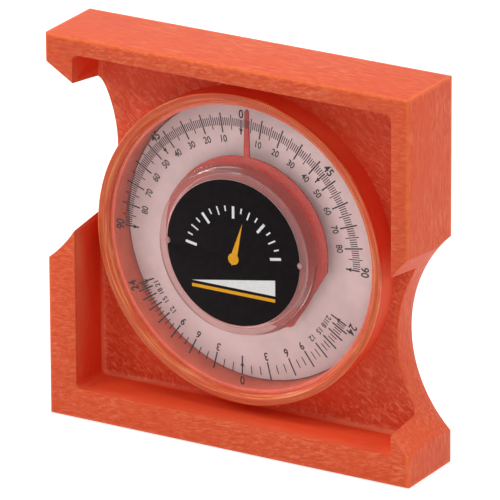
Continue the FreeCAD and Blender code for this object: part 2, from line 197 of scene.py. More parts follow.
# corners given as (radius, height, rounding), each rounding drawn as an arc
def roundedOutline(corners, arcSteps=4):
    outline = []
    count = len(corners)
    for index, (radius, height, rounding) in enumerate(corners):
        here = Vector((radius, height))
        if not rounding:
            outline.append(here)
            continue
        before = (Vector(corners[index - 1][:2]) - here).normalized()
        after = (Vector(corners[(index + 1) % count][:2]) - here).normalized()
        half = before.angle(after) / 2
        centre = here + (before + after).normalized() * (rounding / math.sin(half))
        start = here + before * (rounding / math.tan(half)) - centre
        end = here + after * (rounding / math.tan(half)) - centre
        swing = start.angle_signed(end)
        for step in range(arcSteps + 1):
            turned = start.copy()
            turned.rotate(Matrix.Rotation(-swing * step / arcSteps, 2))
            outline.append(centre + turned)
    return [tuple(point) for point in outline]


# shader helpers
def feed(tree, socket, value):
    if isinstance(value, bpy.types.NodeSocket):
        tree.links.new(value, socket)
    else:
        socket.default_value = value


def addNode(tree, kind, **inputs):
    node = tree.nodes.new(kind)
    for name, value in inputs.items():
        feed(tree, node.inputs[name.replace("_", " ")], value)
    return node


def mathNode(tree, operation, first, second=0.0, clamp=False):
    node = tree.nodes.new("ShaderNodeMath")
    node.operation = operation
    node.use_clamp = clamp
    for socket, value in zip(node.inputs, (first, second)):
        feed(tree, socket, value)
    return node.outputs[0]


def vectorNode(tree, operation, *values):
    node = tree.nodes.new("ShaderNodeVectorMath")
    node.operation = operation
    for socket, value in zip(node.inputs, values):
        feed(tree, socket, value)
    return node.outputs[0]


def lengthNode(tree, vector):
    node = tree.nodes.new("ShaderNodeVectorMath")
    node.operation = "LENGTH"
    feed(tree, node.inputs[0], vector)
    return node.outputs["Value"]


def mapRange(tree, value, low, high, to=(0.0, 1.0)):
    node = addNode(tree, "ShaderNodeMapRange", Value=value)
    node.interpolation_type = "SMOOTHSTEP"
    for name, number in zip(("From Min", "From Max", "To Min", "To Max"), (low, high, *to)):
        node.inputs[name].default_value = number
    return node.outputs[0]


def mixColour(tree, share, first, second):
    node = tree.nodes.new("ShaderNodeMix")
    node.data_type = "RGBA"
    for index, value in ((0, share), (6, first), (7, second)):
        feed(tree, node.inputs[index], value)
    return node.outputs[2]


def mixFloat(tree, share, first, second):
    node = tree.nodes.new("ShaderNodeMix")
    for index, value in ((0, share), (2, first), (3, second)):
        feed(tree, node.inputs[index], value)
    return node.outputs[0]


# a shader node group with named sockets, each input given as (name, kind, value)
def newGroup(name, inputs, outputs):
    group = bpy.data.node_groups.new(name, "ShaderNodeTree")
    for title, kind, value in inputs:
        socket = group.interface.new_socket(title, in_out="INPUT", socket_type=kind)
        if value is not None:
            socket.default_value = value
    for title, kind in outputs:
        group.interface.new_socket(title, in_out="OUTPUT", socket_type=kind)
    return group, group.nodes.new("NodeGroupInput").outputs, group.nodes.new("NodeGroupOutput").inputs


def placeGroup(tree, group, **inputs):
    node = tree.nodes.new("ShaderNodeGroup")
    node.node_tree = group
    for name, value in inputs.items():
        feed(tree, node.inputs[name.replace("_", " ")], value)
    return node.outputs


def newMaterial(name):
    material = bpy.data.materials.new(name)
    material.use_nodes = True
    tree = material.node_tree
    return material, tree, tree.nodes["Principled BSDF"]


def surfaceCoordinates(tree):
    return tree.nodes.new("ShaderNodeTexCoord").outputs


# what every opaque finish ends in: its colour, its roughness by a noise, and a bump by a height
def closeSurface(tree, shader, look, colour, noise, height):
    tree.links.new(colour, shader.inputs["Base Color"])
    tree.links.new(mapRange(tree, noise, *noiseReach, look["roughness"]), shader.inputs["Roughness"])
    distance, strength = look["bump"] * mm, look["bumpStrength"]
    raised = addNode(tree, "ShaderNodeBump", Height=height, Distance=distance, Strength=strength)
    tree.links.new(raised.outputs[0], shader.inputs["Normal"])


# streaks of flowed plastic: Size is one streak's length along each axis, Turn leans it about Y
def buildFlowStreaks():
    group, take, give = newGroup(
        "flowStreaks",
        [
            ("Vector", "NodeSocketVector", None),
            ("Size", "NodeSocketVector", (0.003, 0.001, 0.001)),
            ("Turn", "NodeSocketFloat", 0.0),
            ("Bend", "NodeSocketFloat", 0.002),
            ("Bend Size", "NodeSocketFloat", 60.0),
            ("Curl", "NodeSocketFloat", 0.0),
        ],
        [("Streaks", "NodeSocketFloat")],
    )
    slow = addNode(group, "ShaderNodeTexNoise", Vector=take["Vector"], Scale=take["Bend Size"], Detail=1.0)
    centred = vectorNode(group, "SUBTRACT", slow.outputs["Color"], (0.5, 0.5, 0.5))
    bent = vectorNode(group, "MULTIPLY_ADD", centred, take["Bend"], take["Vector"])
    leaned = group.nodes.new("ShaderNodeVectorRotate")
    leaned.rotation_type = "Y_AXIS"
    group.links.new(bent, leaned.inputs["Vector"])
    group.links.new(take["Turn"], leaned.inputs["Angle"])
    drawn = vectorNode(group, "DIVIDE", leaned.outputs[0], take["Size"])
    noise = addNode(group, "ShaderNodeTexNoise", Vector=drawn, Scale=1.0, Detail=3.0, Roughness=0.6,
                    Distortion=take["Curl"])
    group.links.new(noise.outputs["Fac"], give["Streaks"])
    return group


# a fine uneven grain, as a height
def buildFineGrain():
    group, take, give = newGroup(
        "fineGrain",
        [
            ("Vector", "NodeSocketVector", None),
            ("Scale", "NodeSocketFloat", 900.0),
            ("Pits", "NodeSocketFloat", 0.3),
        ],
        [("Height", "NodeSocketFloat")],
    )
    noise = addNode(group, "ShaderNodeTexNoise", Vector=take["Vector"], Scale=take["Scale"], Detail=3.0)
    cells = addNode(group, "ShaderNodeTexVoronoi", Vector=take["Vector"], Scale=take["Scale"])
    hollow = mapRange(group, cells.outputs["Distance"], 0.0, 0.35, (1.0, 0.0))
    pits = mathNode(group, "MULTIPLY", hollow, take["Pits"])
    group.links.new(mathNode(group, "SUBTRACT", noise.outputs["Fac"], pits), give["Height"])
    return group


# wear and a painted highlight, broken up along the edges a piece marks
def buildEdgeWear():
    group, take, give = newGroup(
        "edgeWearAndHighlight",
        [
            ("Vector", "NodeSocketVector", None),
            ("Edge", "NodeSocketFloat", 0.0),
            ("Scale", "NodeSocketFloat", 700.0),
            ("Amount", "NodeSocketFloat", 0.5),
        ],
        [("Mask", "NodeSocketFloat")],
    )
    noise = addNode(group, "ShaderNodeTexNoise", Vector=take["Vector"], Scale=take["Scale"], Detail=2.0)
    lifted = mathNode(group, "SUBTRACT", noise.outputs["Fac"], 0.5)
    broken = mathNode(group, "ADD", lifted, take["Amount"], clamp=True)
    group.links.new(mathNode(group, "MULTIPLY", broken, take["Edge"], clamp=True), give["Mask"])
    return group


flowStreaks = buildFlowStreaks()
fineGrain = buildFineGrain()
edgeWearAndHighlight = buildEdgeWear()

# each flow: the size of one streak in millimetres, its lean in degrees, how far it wanders and its curl
# a pair of numbers is the low and the high end of a range
foamLook = {
    # body is the web's colour, outer a lighter copy for the faces turned out, painted light, and inner a deeper
    # copy for the pocket's walls, painted shade
    "body": (0.74, 0.077, 0.024, 1),
    "outer": (0.81, 0.102, 0.030, 1),
    "inner": (0.80, 0.048, 0.012, 1),
    "pale": (0.90, 0.27, 0.13, 1),
    "deep": (0.64, 0.045, 0.012, 1),
    # the bright colour of the edge band: partly wear, partly painted highlight
    "wornAndHighlight": (0.98, 0.19, 0.045, 1),
    "flows": {
        "front": ((3.0, 0.8, 0.7), 8.0, 2.5, 0.9),
        "web": ((3.4, 1.5, 1.3), -35.0, 2.4, 1.4),
        "side": ((0.7, 0.7, 4.5), 0.0, 4.0, 0.8),
        "top": ((5.0, 0.7, 0.7), 0.0, 3.0, 0.5),
    },
    "spread": 0.18,
    "paleShare": 0.48,
    "deepShare": 0.5,
    "floorPaintedLightShare": 0.5,
    "filletHighlightShare": 0.4,
    "calm": 0.2,
    "webBoost": 1.3,
    "webDepth": (-1 * mm, 0),
    "facing": (0.6, 0.8),
    "filletFrom": (0.12, 0.3),
    "filletTo": (0.8, 0.97),
    "cloudScale": 45.0,
    "cloudShare": (0.55, 1.35),
    "pipeRadius": 43.4 * mm,
    "pipeDraft": 1.2 * mm,
    "skin": (0.5 * mm, 1.0 * mm),
    "edgeBand": (0.3 * mm, 1.5 * mm),
    "edgeBreak": 1.8 * mm,
    "edgeScale": 420.0,
    "wearAndHighlight": 0.6,
    "roughness": (0.5, 0.62),
    "grain": 1100.0,
    "flowHeight": 0.8,
    "bump": 0.05,
    "bumpStrength": 0.6,
    "gloss": 0.26,
}


# how far a point lies under the block's outer faces: the nearest one, and the second nearest
def blockDepths(tree, place):
    low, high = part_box("frame")
    fromMiddle = vectorNode(tree, "ABSOLUTE", vectorNode(tree, "SUBTRACT", place, (low + high) / 2))
    depths = vectorNode(tree, "SUBTRACT", (high - low) / 2, fromMiddle)
    across, depth, up = addNode(tree, "ShaderNodeSeparateXYZ", Vector=depths).outputs
    lesser = mathNode(tree, "MINIMUM", across, depth)
    greater = mathNode(tree, "MAXIMUM", across, depth)
    nearest = mathNode(tree, "MINIMUM", lesser, up)
    second = mathNode(tree, "MAXIMUM", lesser, mathNode(tree, "MINIMUM", greater, up))
    return nearest, second


# 1 on the faces of the pipe cut-outs, whose radius opens with the draft
def cutOutMask(tree, place, look):
    mask = 0.0
    for mount in frame["record"]["mounts"]:
        if mount["name"].endswith("pipe_saddle"):
            pipeMiddle = Vector(mount["pos_m"]) + Vector(mount["axis"]) * look["pipeRadius"]
            flat = vectorNode(tree, "MULTIPLY", vectorNode(tree, "SUBTRACT", place, pipeMiddle), (1, 0, 1))
            beyond = mathNode(tree, "SUBTRACT", lengthNode(tree, flat), look["pipeRadius"])
            away = mathNode(tree, "ABSOLUTE", beyond)
            near = mapRange(tree, away, look["pipeDraft"], 1.5 * look["pipeDraft"], (1.0, 0.0))
            mask = mathNode(tree, "MAXIMUM", near, mask)
    return mask


def makeFoamPlastic(look):
    material, tree, shader = newMaterial("foamPlastic")
    surface = surfaceCoordinates(tree)
    place = surface["Object"]
    depth = addNode(tree, "ShaderNodeSeparateXYZ", Vector=place).outputs["Y"]
    eitherWay = vectorNode(tree, "ABSOLUTE", surface["Normal"])
    facing = addNode(tree, "ShaderNodeSeparateXYZ", Vector=eitherWay).outputs
    isSide = mapRange(tree, facing["X"], *look["facing"])
    isTop = mapRange(tree, facing["Z"], *look["facing"])
    isWeb = mapRange(tree, depth, *look["webDepth"])

    streaks = {}
    for name, (size, lean, wander, curl) in look["flows"].items():
        streaks[name] = placeGroup(
            tree, flowStreaks, Vector=place, Size=[part * mm for part in size], Turn=math.radians(lean),
            Bend=wander * mm, Curl=curl,
        )[0]
    flow = mixFloat(tree, isWeb, streaks["front"], streaks["web"])
    flow = mixFloat(tree, isSide, flow, streaks["side"])
    flow = mixFloat(tree, isTop, flow, streaks["top"])

    # the walls inside the pocket have faint streaks and a deeper red, which is painted shade; those that face up
    # are painted lighter, towards the outer colour, as painted light
    nearest, second = blockDepths(tree, place)
    outside = mapRange(tree, nearest, *look["skin"], (1.0, 0.0))
    wall = mathNode(tree, "MAXIMUM", isSide, isTop)
    skin = mathNode(tree, "MAXIMUM", outside, cutOutMask(tree, place, look))
    inside = mathNode(tree, "SUBTRACT", wall, skin, clamp=True)
    strength = mixFloat(tree, inside, mixFloat(tree, isWeb, 1.0, look["webBoost"]), look["calm"])
    upwards = addNode(tree, "ShaderNodeSeparateXYZ", Vector=surface["Normal"]).outputs["Z"]
    upFacingPaintedLight = mapRange(tree, upwards, *look["facing"], (0.0, look["floorPaintedLightShare"]))
    # the outer faces and the cut-outs take the lighter outer colour, painted light where the lamps reach, and the
    # web keeps the darker body colour
    ground = mixColour(tree, skin, look["body"], look["outer"])
    ground = mixColour(tree, inside, ground, mixColour(tree, upFacingPaintedLight, look["inner"], look["outer"]))

    # the fillets at the foot of the pocket's walls are painted paler, in patches: a painted highlight along the
    # rounds
    clouds = addNode(tree, "ShaderNodeTexNoise", Vector=place, Scale=look["cloudScale"], Detail=2.0)
    patchy = mapRange(tree, clouds.outputs["Fac"], *noiseMiddle, look["cloudShare"])
    offWall = mapRange(tree, facing["Y"], *look["filletFrom"])
    offWeb = mapRange(tree, facing["Y"], *look["filletTo"], (look["filletHighlightShare"], 0.0))
    turning = mathNode(tree, "MULTIPLY", offWall, offWeb)
    filletHighlight = mathNode(tree, "MULTIPLY", mathNode(tree, "SUBTRACT", turning, outside, clamp=True), patchy)
    ground = mixColour(tree, filletHighlight, ground, look["pale"])

    # the streaks themselves, paler where the flow runs high and deeper where it runs low
    above = mathNode(tree, "DIVIDE", mathNode(tree, "SUBTRACT", flow, 0.5), look["spread"], clamp=True)
    below = mathNode(tree, "DIVIDE", mathNode(tree, "SUBTRACT", 0.5, flow), look["spread"], clamp=True)
    paleStrength = mathNode(tree, "MULTIPLY", strength, look["paleShare"])
    pale = mathNode(tree, "MULTIPLY", mathNode(tree, "MULTIPLY", above, patchy), paleStrength)
    deep = mathNode(tree, "MULTIPLY", below, mathNode(tree, "MULTIPLY", strength, look["deepShare"]))
    colour = mixColour(tree, pale, ground, look["pale"])
    colour = mixColour(tree, deep, colour, look["deep"])

    # a broken bright band along the block's outer edges, and on every narrow round: partly wear, partly a painted
    # highlight
    ragged = addNode(tree, "ShaderNodeTexNoise", Vector=place, Scale=look["edgeScale"], Detail=3.0)
    centred = mathNode(tree, "SUBTRACT", ragged.outputs["Fac"], 0.5)
    shift = mathNode(tree, "MULTIPLY", centred, look["edgeBreak"])
    band = mapRange(tree, mathNode(tree, "ADD", second, shift), *look["edgeBand"], (1.0, 0.0))
    band = mathNode(tree, "MULTIPLY", band, outside)
    edge = addNode(tree, "ShaderNodeAttribute")
    edge.attribute_name = "edge"
    marked = mathNode(tree, "MAXIMUM", band, edge.outputs["Fac"])
    wearAndHighlight = placeGroup(tree, edgeWearAndHighlight, Vector=place, Edge=marked, Amount=look["wearAndHighlight"])
    colour = mixColour(tree, wearAndHighlight["Mask"], colour, look["wornAndHighlight"])
    grain = placeGroup(tree, fineGrain, Vector=place, Scale=look["grain"])
    height = mathNode(tree, "ADD", grain["Height"], mathNode(tree, "MULTIPLY", flow, look["flowHeight"]))
    closeSurface(tree, shader, look, colour, flow, height)
    shader.inputs["Specular IOR Level"].default_value = look["gloss"]
    return material


clearLook = {
    "tint": (0.985, 0.965, 0.96, 1),
    "shadow": (0.97, 0.95, 0.945, 1),
    "roughness": (0.0, 0.012),
    "smearScale": 90.0,
    "smeared": (0.5, 0.75),
    "ior": 1.25,
    "gloss": 0.5,
    "clear": 1.0,
    "lastTurn": 3.5,
}

# the boss's clear wall is tinted red and made partly opaque: a painted reflection of the red parts round it
bossPaintedRedLook = {
    **clearLook,
    "tint": (0.72, 0.42, 0.40, 1),
    "clear": 0.75,
}


# lamps shine straight through it, so what lies inside stays lit, and light caught in a wall goes straight on
def makeClearPlastic(name, look):
    material, tree, shader = newMaterial(name)
    place = surfaceCoordinates(tree)["Object"]
    shader.inputs["Base Color"].default_value = look["tint"]
    shader.inputs["Transmission Weight"].default_value = look["clear"]
    shader.inputs["IOR"].default_value = look["ior"]
    shader.inputs["Specular IOR Level"].default_value = look["gloss"]
    smears = addNode(
        tree, "ShaderNodeTexNoise", Vector=place, Scale=look["smearScale"], Detail=4.0, Distortion=1.5
    )
    roughness = mapRange(tree, smears.outputs["Fac"], *look["smeared"], look["roughness"])
    tree.links.new(roughness, shader.inputs["Roughness"])
    through = addNode(tree, "ShaderNodeBsdfTransparent", Color=look["shadow"])
    path = tree.nodes.new("ShaderNodeLightPath")
    caught = mathNode(tree, "GREATER_THAN", path.outputs["Ray Depth"], look["lastTurn"])
    straight = mathNode(tree, "MAXIMUM", path.outputs["Is Shadow Ray"], caught)
    mixed = addNode(tree, "ShaderNodeMixShader", Fac=straight)
    tree.links.new(shader.outputs[0], mixed.inputs[1])
    tree.links.new(through.outputs[0], mixed.inputs[2])
    tree.links.new(mixed.outputs[0], tree.nodes["Material Output"].inputs["Surface"])
    return material


# what the plastics, prints and paints share
plasticSurface = {"bumpStrength": 0.5}
plastics = {
    # the white disc is painted pink with the orange light bounced from the frame
    "discPaintedPink": {
        "colour": (0.67, 0.505, 0.50, 1), "shade": (0.63, 0.475, 0.47, 1), "roughness": (0.5, 0.62),
        "grain": 1500.0, "bump": 0.01, "gloss": 0.12, "speckle": 260.0,
    },
    # the clear barrel is painted an opaque orange: the collar seen through it, brightened as painted light piped
    # in through the rim
    "barrelPaintedLight": {
        "colour": (0.66, 0.123, 0.068, 1), "shade": (0.61, 0.105, 0.057, 1), "roughness": (0.3, 0.45),
        "grain": 900.0, "bump": 0.01, "gloss": 0.2, "speckle": 180.0,
    },
    "toothFrost": {
        "colour": (0.55, 0.10, 0.035, 1), "shade": (0.48, 0.08, 0.028, 1), "roughness": (0.3, 0.45),
        "grain": 900.0, "bump": 0.01, "gloss": 0.2, "speckle": 400.0,
    },
    "keyFrost": {
        "colour": (0.62, 0.30, 0.27, 1), "shade": (0.55, 0.25, 0.22, 1), "roughness": (0.3, 0.45),
        "grain": 900.0, "bump": 0.01, "gloss": 0.2, "speckle": 400.0,
    },
    "pointerRed": {
        "colour": (0.41, 0.041, 0.028, 1), "shade": (0.34, 0.030, 0.021, 1), "roughness": (0.22, 0.34),
        "grain": 900.0, "bump": 0.02, "gloss": 0.25, "speckle": 300.0,
    },
    "redLacquer": {
        "colour": (0.45, 0.04, 0.034, 1), "shade": (0.38, 0.03, 0.027, 1), "roughness": (0.25, 0.4),
        "grain": 1300.0, "bump": 0.02, "gloss": 0.3, "speckle": 500.0,
    },
    "labelPaper": {
        "colour": (0.70, 0.58, 0.57, 1), "shade": (0.66, 0.54, 0.53, 1), "roughness": (0.5, 0.6),
        "grain": 1600.0, "bump": 0.01, "gloss": 0.1, "speckle": 500.0,
    },
    "labelBlack": {
        "colour": (0.0095, 0.0070, 0.0080, 1), "shade": (0.012, 0.0092, 0.0102, 1), "roughness": (0.36, 0.48),
        "grain": 1600.0, "bump": 0.01, "gloss": 0.04, "speckle": 420.0,
    },
    "printBlack": {
        "colour": (0.016, 0.006, 0.007, 1), "shade": (0.028, 0.011, 0.012, 1), "roughness": (0.5, 0.6),
        "grain": 2500.0, "bump": 0.005, "gloss": 0.1, "speckle": 900.0,
    },
    "printWhite": {
        "colour": (0.90, 0.90, 0.89, 1), "shade": (0.85, 0.85, 0.84, 1), "roughness": (0.4, 0.5),
        "grain": 2000.0, "bump": 0.005, "gloss": 0.2, "speckle": 700.0,
    },
    "printAmber": {
        "colour": (0.90, 0.42, 0.012, 1), "shade": (0.84, 0.37, 0.01, 1), "roughness": (0.4, 0.5),
        "grain": 2000.0, "bump": 0.005, "gloss": 0.2, "speckle": 700.0,
    },
}


# a moulded, printed or painted surface: a colour with faint speckle, and a fine grain
def makePlastic(name, look):
    material, tree, shader = newMaterial(name)
    place = surfaceCoordinates(tree)["Object"]
    speckle = addNode(tree, "ShaderNodeTexNoise", Vector=place, Scale=look["speckle"], Detail=4.0)
    spots = speckle.outputs["Fac"]
    colour = mixColour(tree, mapRange(tree, spots, *noiseMiddle), look["colour"], look["shade"])
    grain = placeGroup(tree, fineGrain, Vector=place, Scale=look["grain"])
    closeSurface(tree, shader, look, colour, spots, grain["Height"])
    shader.inputs["Specular IOR Level"].default_value = look["gloss"]
    return material


rimLook = {
    "colour": (0.80, 0.098, 0.028, 1),
    # the colour of the lighter streaks, a painted highlight
    "light": (0.92, 0.26, 0.080, 1),
    "streakLength": 14.0 * mm,
    "streakWidth": 0.55 * mm,
    "radius": 49.0 * mm,
    "highlightFrom": (0.42, 0.68),
    "roughness": (0.12, 0.3),
    "gloss": 0.34,
    "bump": 0.03,
    "bumpStrength": 0.5,
}


# the thick rim carries the frame's orange through it, with painted highlights as lighter streaks that run round
# the dial
def makeRimPlastic(look):
    material, tree, shader = newMaterial("rimPlastic")
    place = surfaceCoordinates(tree)["Object"]
    fromAxis = vectorNode(tree, "SUBTRACT", place, dialCentre)
    flat = vectorNode(tree, "MULTIPLY", fromAxis, (1, 0, 1))
    radius = mathNode(tree, "DIVIDE", lengthNode(tree, flat), look["streakWidth"])
    turn = look["radius"] / look["streakLength"]
    around = vectorNode(tree, "MULTIPLY", vectorNode(tree, "NORMALIZE", flat), (turn, 0, turn))
    drawn = vectorNode(tree, "ADD", around, addNode(tree, "ShaderNodeCombineXYZ", Y=radius).outputs[0])
    noise = addNode(tree, "ShaderNodeTexNoise", Vector=drawn, Scale=1.0, Detail=3.0, Roughness=0.55)
    streaks = noise.outputs["Fac"]
    colour = mixColour(tree, mapRange(tree, streaks, *look["highlightFrom"]), look["colour"], look["light"])
    closeSurface(tree, shader, look, colour, streaks, streaks)
    shader.inputs["Specular IOR Level"].default_value = look["gloss"]
    return material


# what the metals share: how far their lines wander, where they are dull, and their bump
metalSurface = {"wander": 0.5 * mm, "dullFrom": (0.35, 0.6), "bump": 0.02, "bumpStrength": 0.3}
metals = {
    "brass": {
        "colour": (0.74, 0.55, 0.26, 1), "shade": (0.6, 0.42, 0.18, 1), "roughness": (0.2, 0.34),
        "line": (3.3, 0.17, 3.3),
    },
    "steel": {
        "colour": (0.58, 0.58, 0.59, 1), "shade": (0.44, 0.44, 0.46, 1), "roughness": (0.24, 0.4),
        "line": (0.2, 3.3, 0.2),
    },
    "zinc": {
        "colour": (0.66, 0.66, 0.64, 1), "shade": (0.5, 0.51, 0.5, 1), "roughness": (0.26, 0.42),
        "line": (0.7, 0.7, 1.1),
    },
}


# a turned or plated metal: fine lines of the size given in millimetres, and duller patches
def makeMetal(name, look):
    material, tree, shader = newMaterial(name)
    place = surfaceCoordinates(tree)["Object"]
    lineSize = [part * mm for part in look["line"]]
    lines = placeGroup(tree, flowStreaks, Vector=place, Size=lineSize, Bend=look["wander"])["Streaks"]
    colour = mixColour(tree, mapRange(tree, lines, *look["dullFrom"]), look["colour"], look["shade"])
    closeSurface(tree, shader, look, colour, lines, lines)
    shader.inputs["Metallic"].default_value = 1.0
    return material


foamPlastic = makeFoamPlastic(foamLook)
clearPlastic = makeClearPlastic("clearPlastic", clearLook)
bossPaintedRed = makeClearPlastic("bossPaintedRed", bossPaintedRedLook)
rimPlastic = makeRimPlastic(rimLook)
finish = {name: makePlastic(name, {**plasticSurface, **look}) for name, look in plastics.items()}
finish.update({name: makeMetal(name, {**metalSurface, **look}) for name, look in metals.items()})
print("materials made:", len(bpy.data.materials))


# frame
frameFinish = {"sharpEdge": 0.35 * mm, "narrow": 0.75 * mm, "leastTurn": 2.0, "fullLean": 0.25}


# marks the narrow outward rounds of a mesh, strongest where they face between two walls, for the band of wear and
# painted highlight
def markEdges(mesh, look):
    build = bmesh.new()
    build.from_mesh(mesh)
    build.normal_update()
    values = {}
    for face in build.faces:
        longest = max(face.edges, key=lambda edge: edge.calc_length())
        turn = longest.calc_face_angle_signed(0.0)
        isNarrow = face.calc_area() / longest.calc_length() < look["narrow"]
        if isNarrow and turn > math.radians(look["leastTurn"]):
            straight = max(abs(part) for part in face.normal)
            values[face.index] = min(1.0, (1.0 - straight) / look["fullLean"])
    build.free()
    attribute = mesh.attributes.new("edge", "FLOAT", "CORNER")
    for polygon in mesh.polygons:
        for corner in polygon.loop_indices:
            attribute.data[corner].value = values.get(polygon.index, 0.0)


frameShell = cleanCopy("frame", "frameShell", frameFinish["sharpEdge"])
markEdges(frameShell.data, frameFinish)
finished(frameShell, "housing", [foamPlastic], ["frame"])
print("frame dressed:", len(frameShell.data.polygons), "faces")

# clear cover, heights from its foot
cover = {
    "barrelInside": discHigh.x + 0.3 * mm,
    "barrelRadius": 48.5 * mm,
    "rimRadius": coverHigh.x,
    "rimTop": 2.3 * mm,
    "rimSlope": 1.1 * mm,
    "rimBand": 1.2 * mm,
    "rimStep": 1.3 * mm,
    "windowFront": 10.75 * mm,
    "windowThickness": 1.6 * mm,
    "bossFoot": 28.0 * mm,
    "bossRadius": 26.8 * mm,
    "bossWall": 1.5 * mm,
    "bossTop": coverHigh.y - coverLow.y,
    "seatRadius": labelHigh.x + 0.1 * mm,
    "seatHeight": coverHigh.y - labelHigh.y,
    "bushSeatRadius": 4.4 * mm,
    "bushSeatStand": 0.85 * mm,
    "bushRadius": 2.2 * mm,
    "bushBore": 1.65 * mm,
    "keyRadius": 0.75 * mm,
    "parting": 0.02 * mm,
    "inkDrop": 0.03 * mm,
    "backEdge": 0.2 * mm,
    "sharp": 0.15 * mm,
    "soft": 0.4 * mm,
    "steps": 288,
}
rimHeight = cover["windowFront"] + cover["rimStep"]
rimInside = cover["rimRadius"] - cover["rimTop"]
windowBack = cover["windowFront"] - cover["windowThickness"]
windowRadius = rimInside - cover["rimSlope"]

# the finishes of the cover's faces, and the number of each
coverFinish = {
    "clear": clearPlastic,
    "barrel": finish["barrelPaintedLight"],
    "rim": rimPlastic,
    "seat": finish["labelPaper"],
    "boss": bossPaintedRed,
}
coverSlot = {name: index for index, name in enumerate(coverFinish)}


# the window with its boss: clear, but tinted on the boss, white under the label and orange at its edge
def windowBuild(size):
    sharp, soft = size["sharp"], size["soft"]
    roofBack = size["seatHeight"] - size["bossWall"]
    bushSeat = roofBack - size["bushSeatStand"]
    build = turnedBuild(roundedOutline([
        (windowRadius - size["parting"], windowBack, 0),
        (windowRadius - size["parting"], size["windowFront"], 0),
        (size["bossFoot"], size["windowFront"], soft),
        (size["bossRadius"], size["bossTop"], soft),
        (size["seatRadius"], size["bossTop"], sharp),
        (size["seatRadius"], size["seatHeight"], 0),
        (0, size["seatHeight"], 0),
        (0, bushSeat + size["bushBore"], 0),
        (size["bushRadius"], bushSeat + size["bushBore"], 0),
        (size["bushRadius"], bushSeat, 0),
        (size["bushSeatRadius"], bushSeat, sharp),
        (size["bushSeatRadius"], roofBack, sharp),
        (size["bossRadius"] - size["bossWall"], roofBack, soft),
        (size["bossRadius"] - size["bossWall"], windowBack, sharp),
    ]), size["steps"])
    for face in build.faces:
        lowest = min(-vert.co.y for vert in face.verts)
        radii = [math.hypot(vert.co.x, vert.co.z) for vert in face.verts]
        if all(abs(-vert.co.y - size["seatHeight"]) < weld for vert in face.verts):
            face.material_index = coverSlot["seat"]
        elif min(radii) > windowRadius - size["parting"] - weld:
            face.material_index = coverSlot["rim"]
        elif lowest > size["windowFront"] - weld and max(radii) < size["bossFoot"] + sharp:
            face.material_index = coverSlot["boss"]
    return build


# the barrel and the rim round the window, with the ledge that the window stands on
def barrelBuild(size):
    sharp, soft = size["sharp"], size["soft"]
    ledge = windowBack - size["parting"]
    rimBack = rimHeight - size["rimBand"]
    build = turnedBuild(roundedOutline([
        (size["barrelInside"], 0, sharp),
        (size["barrelRadius"], 0, sharp),
        (size["barrelRadius"], rimBack, sharp),
        (size["rimRadius"], rimBack, sharp),
        (size["rimRadius"], rimHeight, soft),
        (rimInside, rimHeight, soft),
        (windowRadius, size["windowFront"], 0),
        (windowRadius, ledge, 0),
        (size["barrelInside"], ledge, sharp),
    ]), size["steps"])
    for face in build.faces:
        isRim = max(-vert.co.y for vert in face.verts) > ledge + weld
        face.material_index = coverSlot["rim" if isRim else "barrel"]
    return build


def makeCover(size):
    build = bmesh.new()
    for part in (windowBuild(size), barrelBuild(size)):
        addBuild(build, part, dialPlace(0))
    shell = smoothed(linked("lensShell", meshFrom(build, "lensShell")), degrees=40)
    for material in coverFinish.values():
        shell.data.materials.append(material)
    return shell


finished(makeCover(cover), "housing", stands=["lens_cover"])

backShell = cleanCopy("case_back", "backShell", cover["backEdge"])
finished(backShell, "housing", [clearPlastic], ["case_back"])


# what stands proud on the cover: the two keys of the label seat and the mark where the mould was fed
coverMarks = {
    "keyHeight": 0.45 * mm,
    "gateWidth": 1.5 * mm,
    "gateDepth": 0.5 * mm,
    "gateReach": 2.3 * mm,
    "steps": 20,
}


def makeLabelKeys(size):
    build = bmesh.new()
    for side in (-1, 1):
        key = turnedBuild(roundedOutline([
            (0, 0, 0),
            (cover["keyRadius"], 0, 0),
            (cover["keyRadius"], size["keyHeight"], cover["sharp"]),
            (0, size["keyHeight"], 0),
        ], arcSteps=2), size["steps"])
        place = dialPlace(cover["seatHeight"] + cover["parting"])
        addBuild(build, key, place @ Matrix.Translation((side * cover["seatRadius"], 0, 0)))
    return smoothed(linked("labelKeys", meshFrom(build, "labelKeys")))


def makeGateMark(size):
    gate = bmesh.new()
    bmesh.ops.create_uvsphere(gate, u_segments=size["steps"], v_segments=size["steps"] // 2, radius=0.5)
    gate.transform(Matrix.Diagonal((size["gateWidth"], size["gateDepth"], size["gateReach"], 1)))
    middle = cover["rimRadius"] - size["gateReach"] / 2
    gate.transform(dialPlace(rimHeight - size["gateDepth"] / 2) @ Matrix.Translation((0, 0, -middle)))
    return smoothed(linked("gateMark", meshFrom(gate, "gateMark")))


finished(makeLabelKeys(coverMarks), "housing", [finish["keyFrost"]])
finished(makeGateMark(coverMarks), "housing", [finish["toothFrost"]])
print("capsule made")

# rim teeth and scale ticks, by the inputs of their trees, and how far the teeth stand proud of the rim
toothRing = {
    "Count": 492,
    "Radius": 49.85 * mm,
    "Length": 1.4 * mm,
    "Width": 0.26 * mm,
    "Depth": 0.14 * mm,
    "Proud": 0.03 * mm,
}

degreeScale = {
    "Steps": 90,
    "Spacing": 1.0,
    "Run": 0.0,
    "Middle Every": 5,
    "Long Every": 10,
    "Arrow Every": 45,
    "Short From": 39.8 * mm,
    "Short To": 42.4 * mm,
    "Middle From": 38.5 * mm,
    "Middle To": 43.4 * mm,
    "Long From": 37.5 * mm,
    "Long To": 43.9 * mm,
    "Arrow From": 37.3 * mm,
    "Arrow To": 42.2 * mm,
    "Fine": 0.31 * mm,
    "Bold": 0.48 * mm,
    "Depth": 0.04 * mm,
}

